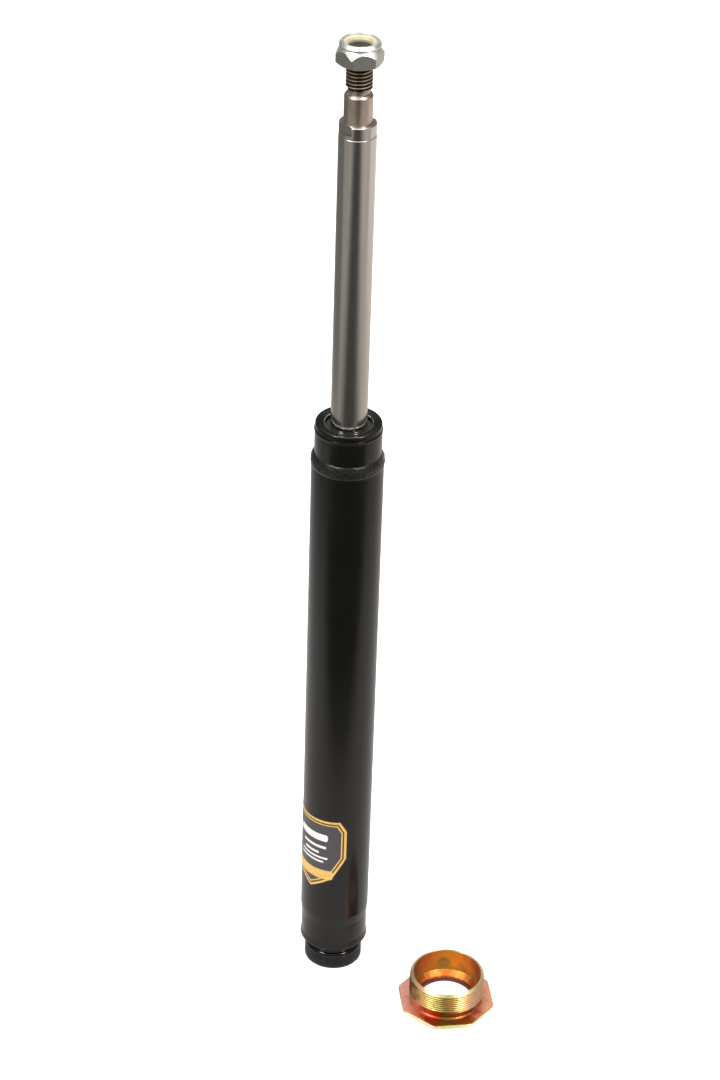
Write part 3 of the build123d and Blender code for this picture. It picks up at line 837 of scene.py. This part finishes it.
# ---- inner pieces: the CAD shapes, each with its own finish ---------------------------------
def finish_inner_pieces(rubber, spring_steel):
    by_slot = {
        "plain_steel": plain_metal("machined_steel", (0.56, 0.54, 0.51), (0.44, 0.43, 0.41), 0.5, 0.28),
        "valve_steel": spring_steel,
        "sintered_iron": plain_metal("sintered_iron", (0.24, 0.23, 0.22), (0.15, 0.145, 0.14), 0.4, 0.5),
        "guide_bronze": plain_metal("guide_bronze", (0.62, 0.40, 0.18), (0.45, 0.28, 0.12), 0.4, 0.35),
        "seal_rubber": rubber, "piston_band": filled_ptfe()}
    for part in frame["record"]["subparts"]:
        node = frame["nodes"][part["node"]]
        if not node.hide_render:
            for place in node.material_slots:
                place.link = "OBJECT"
                place.material = by_slot[part["material_slot"]]


def make_springs(spring_steel):
    """The valves' springs: copies of their CAD meshes, merged, each riding on its body."""
    names = {"check_spring": "check_leaf_spring", "rebound_spring": "rebound_coil_spring",
             "foot_intake_spring": "intake_leaf_spring"}
    behaviour = frame["record"]["behaviour"]
    for joint in behaviour["joints"]:
        travel = (joint["range_m"][1] - joint["range_m"][0]) / MM
        for pressed in joint.get("deforming_nodes", []):
            node, anchor = pressed["node"], (0, 0, pressed["fixed_end_z_m"])
            body = next(name for name, nodes in behaviour["bodies"].items() if node in nodes)
            source, span = frame["nodes"][node], Span(node)
            bm = bmesh.new()
            bm.from_mesh(source.data)
            bmesh.ops.transform(bm, matrix=source.matrix_world, verts=bm.verts)
            bmesh.ops.remove_doubles(bm, verts=bm.verts, dist=1e-7)
            for face in bm.faces:
                face.material_index = 0
            spring = piece(bm, names[node], body, node, [spring_steel])
            1 - travel / (span.high - span.low)
            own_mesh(spring)


# ---- stage ----------------------------------------------------------------------------------
def flat_sheet(name, half_size, height, material):
    bm = bmesh.new()
    bmesh.ops.create_grid(bm, x_segments=1, y_segments=1, size=half_size)
    bmesh.ops.translate(bm, verts=bm.verts, vec=(0, 0, height))
    mesh = bpy.data.meshes.new(name)
    bm.to_mesh(mesh)
    bm.free()
    mesh.materials.append(material)
    sheet = bpy.data.objects.new(name, mesh)
    bpy.context.scene.collection.objects.link(sheet)
    return sheet


def make_floor():
    f = Finish("pale_floor", Roughness=0.9, Specular_IOR_Level=0.1, Emission_Strength=0.45)
    f.set("Base Color", f.mix(f.grain(400), (0.92, 0.92, 0.91), (0.90, 0.90, 0.89)))
    f.set("Emission Color", (1.0, 1.0, 0.995))
    half_size = 60                  # metres
    flat_sheet("floor", half_size, 0, f.material)


def make_reflected_room():
    """What gloss sees of the floor: a white table, a dim room before it, brighter to the right."""
    f = Finish("reflected_room", Specular_IOR_Level=0.0, Emission_Strength=1.0)
    x, y = f.axis(f.place, "X"), f.axis(f.place, "Y")
    away = f.distance(f.place, (0, 0, 0))
    left, right = f.band(-x, 0.25, 0.75), f.band(x, 0.30, 0.90)
    corner = f.band(x + y, 0.55, 1.5)
    table = 0.95 - f.band(away, 0.3, 0.8) * 0.45
    sides = table - left * 0.30 + corner * 0.45
    dim = 0.07 + left * 0.34 + right * 0.52
    front = f.band(-y, 0.16, 0.30)
    room = front * dim + (1 - front) * sides
    f.set("Base Color", (0.0, 0.0, 0.0))
    tint = f.mix(f.band(x, -0.5, 0.5), (1.0, 0.975, 0.93), (1.0, 0.935, 0.88))
    f.set("Emission Color", f.add("ShaderNodeVectorMath", {"operation": "SCALE"}, {0: tint, "Scale": room}))
    half_size, above_floor = 6, 0.002
    sheet = flat_sheet("reflected_room", half_size, above_floor, f.material)
    sheet.visible_camera = sheet.visible_diffuse = False
    sheet.visible_shadow = sheet.visible_transmission = False


def make_lamp(name, place, aim, size, energy):
    lamp = bpy.data.lights.new(name, "AREA")
    lamp.size, lamp.energy = size, energy
    thing = bpy.data.objects.new(name, lamp)
    turn = (Vector(place) - Vector(aim)).to_track_quat("Z", "Y").to_matrix().to_4x4()
    thing.matrix_world = Matrix.Translation(place) @ turn
    bpy.context.scene.collection.objects.link(thing)


def make_lights():
    """A broad softbox overhead, one before each shoulder, and a room brightest at its ceiling."""
    middle = (0, 0, 0.25)
    make_lamp("overhead_softbox", (0, 0, 2.3), middle, size=2.0, energy=34)
    for name, side in (("left_softbox", -1), ("right_softbox", 1)):
        make_lamp(name, (side * 1.35, -1.15, 1.9), middle, size=0.5, energy=23)
    world = bpy.data.worlds.new("studio_room")
    world.use_nodes = True
    bpy.context.scene.world = world
    room = Graph(world.node_tree)
    direction = room.add("ShaderNodeTexCoord", {}, {}, "Generated")
    background = world.node_tree.nodes["Background"]
    ceiling = room.band(room.axis(direction, "Z"), 0.45, 0.85)
    room.feed(background.inputs["Strength"], 0.16 + ceiling * 0.75)
    background.inputs["Color"].default_value = (1, 1, 1, 1)


def make_camera():
    """Long lens, well above the floor, looking down; rolled a little, so the rod leans to the right."""
    stand = Vector((8.16, -1426, 1207)) * MM
    lens = bpy.data.cameras.new("camera")
    lens.lens = 101.72
    lens.clip_start, lens.clip_end = 0.05, 150
    camera = bpy.data.objects.new("camera", lens)
    bpy.context.scene.collection.objects.link(camera)
    down, roll = math.radians(32.578), math.radians(1.92)
    tilt = Matrix.Rotation(math.pi / 2 - down, 4, "X") @ Matrix.Rotation(roll, 4, "Z")
    camera.matrix_world = Matrix.Translation(stand) @ tilt
    bpy.context.scene.camera = camera


def main():
    bpy.context.scene.view_settings.view_transform = "Standard"
    paint, rubber = black_paint("satin_black_paint", 0.13, 0.36), nitrile_rubber()
    gloss = black_paint("gloss_black_paint", 0.05, 0.42)
    make_tube(paint)
    make_foot(rough_black_paint(), gloss)
    make_sleeve(gloss, wiped_edge())
    make_bead(weld_paint())
    make_seal(rubber, polished_washer())
    make_rod(ground_chrome(), oiled_steel(), dark_thread_steel())
    # the second, darker zinc is a shaded copy for the hexagon's sides: painted shade
    make_lock_nut(zinc_plate("bright_zinc", (0.88, 0.88, 0.82), (0.70, 0.71, 0.63)),
                  zinc_plate("shaded_zinc", (0.56, 0.57, 0.50), (0.30, 0.31, 0.26)), ivory_nylon())
    make_gland_nut(chromate_on_thread(THREAD_TINTS), chromate_on("chromate_on_flange", FLANGE_TINTS),
                   chromate_in_bore(BORE_TINTS), chromate_on("chromate_on_face", FACE_TINTS))
    make_label(gold_foil(), label_ink("brown_ink", (0.07, 0.035, 0.015), (0.05, 0.025, 0.01)),
               label_ink("charcoal_ink", (0.040, 0.034, 0.038), (0.062, 0.055, 0.058)),
               label_ink("pale_ink", (0.80, 0.79, 0.76), (0.66, 0.65, 0.62)))
    spring_steel = plain_metal("blue_spring_steel", (0.30, 0.32, 0.37), (0.20, 0.20, 0.23), 0.3, 0.22)
    make_springs(spring_steel)
    finish_inner_pieces(rubber, spring_steel)
    make_floor()
    make_reflected_room()
    make_lights()
    make_camera()


main()
